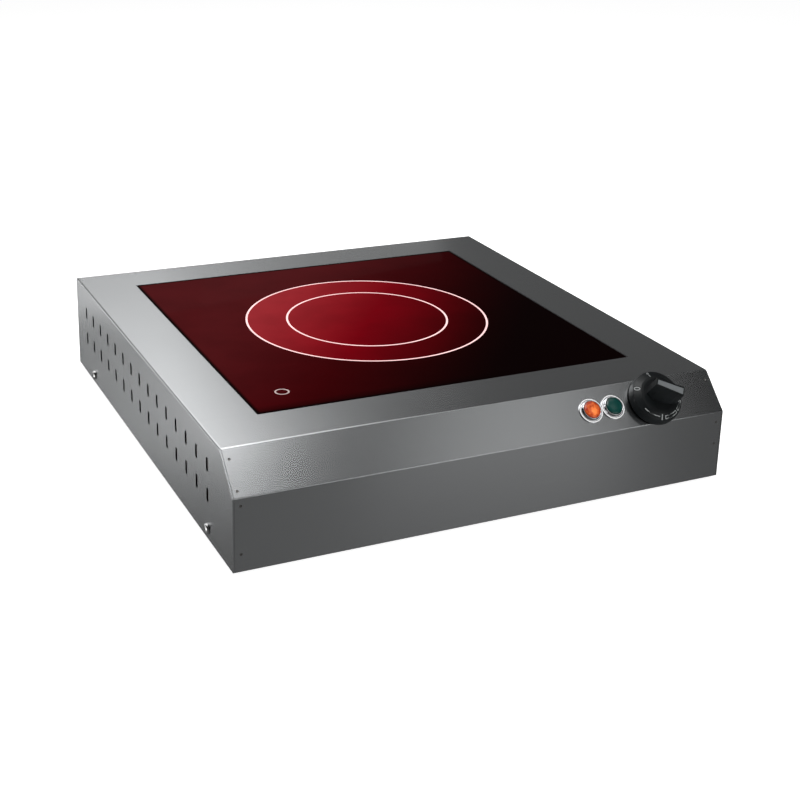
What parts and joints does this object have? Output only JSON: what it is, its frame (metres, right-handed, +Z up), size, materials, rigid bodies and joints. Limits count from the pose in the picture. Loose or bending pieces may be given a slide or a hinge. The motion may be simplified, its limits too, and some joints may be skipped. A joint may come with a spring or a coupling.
{
  "type": "countertop glass-ceramic hot plate",
  "caption": "Countertop hot plate: folded steel housing with a sloping control edge, flush glass top over a two-circuit radiant heater, a turning knob and pilot lamps.",
  "frame": {"origin": "under the middle of the housing, on the plane the feet stand on", "axes": "+Z up out of the cooking surface, +Y towards the back where the cable gland is, +X to the user's right where the knob is"},
  "size_m": [0.419, 0.4687, 0.0999],
  "materials": {
    "brushed_steel": "fine brushed stainless steel, satin",
    "plated_steel": "zinc-plated sheet, smooth",
    "screw_steel": "bright rolled screw steel",
    "spring_steel": "oiled spring steel",
    "lamp_chrome": "polished chrome plating",
    "brass": "turned brass",
    "glass_ceramic": "polished dark red glass-ceramic",
    "silicone": "black silicone sealant, satin",
    "foot_rubber": "moulded black rubber, matt",
    "knob_plastic": "moulded black plastic, satin",
    "inner_plastic": "moulded dark grey plastic",
    "silver_foil": "matt silver aluminium strip",
    "heater_fibre": "pressed mineral fibre, matt",
    "steatite": "unglazed electrical ceramic",
    "heating_ribbon": "oxidised heating alloy ribbon",
    "quartz": "clear quartz tube",
    "amber_lens": "moulded amber lens, lit",
    "green_lens": "moulded green lens, unlit",
    "live_wire": "brown insulated wire",
    "neutral_wire": "blue insulated wire",
    "earth_wire": "green and yellow insulated wire",
    "heater_lead": "glass-fibre sleeved wire"
  },
  "bodies": {
    "appliance": {"housing": "brushed_steel", "base_plate": "plated_steel", "glass_ledge": "plated_steel", "glass_gasket": "silicone", "glass_plate": "glass_ceramic", "heater_dish": "plated_steel", "heater_insulation": "heater_fibre", "heater_rim": "heater_fibre", "heater_divider": "heater_fibre", "inner_element": "heating_ribbon", "outer_element": "heating_ribbon", "limiter_rod": "quartz", "limiter_head": "steatite", "heater_terminals": "steatite", "heater_rail_left": "plated_steel", "heater_rail_right": "plated_steel", "leaf_spring_left": "spring_steel", "leaf_spring_right": "spring_steel", "regulator_plate": "plated_steel", "regulator_case": "inner_plastic", "regulator_terminals": "brass", "regulator_screw_left": "screw_steel", "regulator_screw_right": "screw_steel", "gland_body": "inner_plastic", "gland_cap": "inner_plastic", "gland_seal": "foot_rubber", "gland_locknut": "inner_plastic", "terminal_block": "steatite", "earth_stud": "brass", "heat_baffle": "plated_steel", "live_wire": "live_wire", "neutral_wire": "neutral_wire", "earth_wire": "earth_wire", "inner_heater_lead": "heater_lead", "outer_heater_lead": "heater_lead", "base_screw_front_left": "screw_steel", "foot_front_left": "foot_rubber", "foot_screw_front_left": "screw_steel", "base_screw_front_right": "screw_steel", "foot_front_right": "foot_rubber", "foot_screw_front_right": "screw_steel", "base_screw_rear_left": "screw_steel", "foot_rear_left": "foot_rubber", "foot_screw_rear_left": "screw_steel", "base_screw_rear_right": "screw_steel", "foot_rear_right": "foot_rubber", "foot_screw_rear_right": "screw_steel", "amber_bezel": "lamp_chrome", "amber_lens": "amber_lens", "amber_lamp_holder": "inner_plastic", "amber_nut": "screw_steel", "green_bezel": "lamp_chrome", "green_lens": "green_lens", "green_lamp_holder": "inner_plastic", "green_nut": "screw_steel"},
    "knob": {"knob": "knob_plastic", "knob_insert": "silver_foil", "knob_clip": "spring_steel", "regulator_shaft": "brass", "regulator_cam": "inner_plastic"}
  },
  "joints": [
    {"name": "knob_turn", "type": "hinge", "parent": "appliance", "child": "knob", "pos_m": [0.1465, -0.2065, 0.074], "axis": [0, -0.7071, 0.7071], "range_deg": [0, 300]}
  ]
}
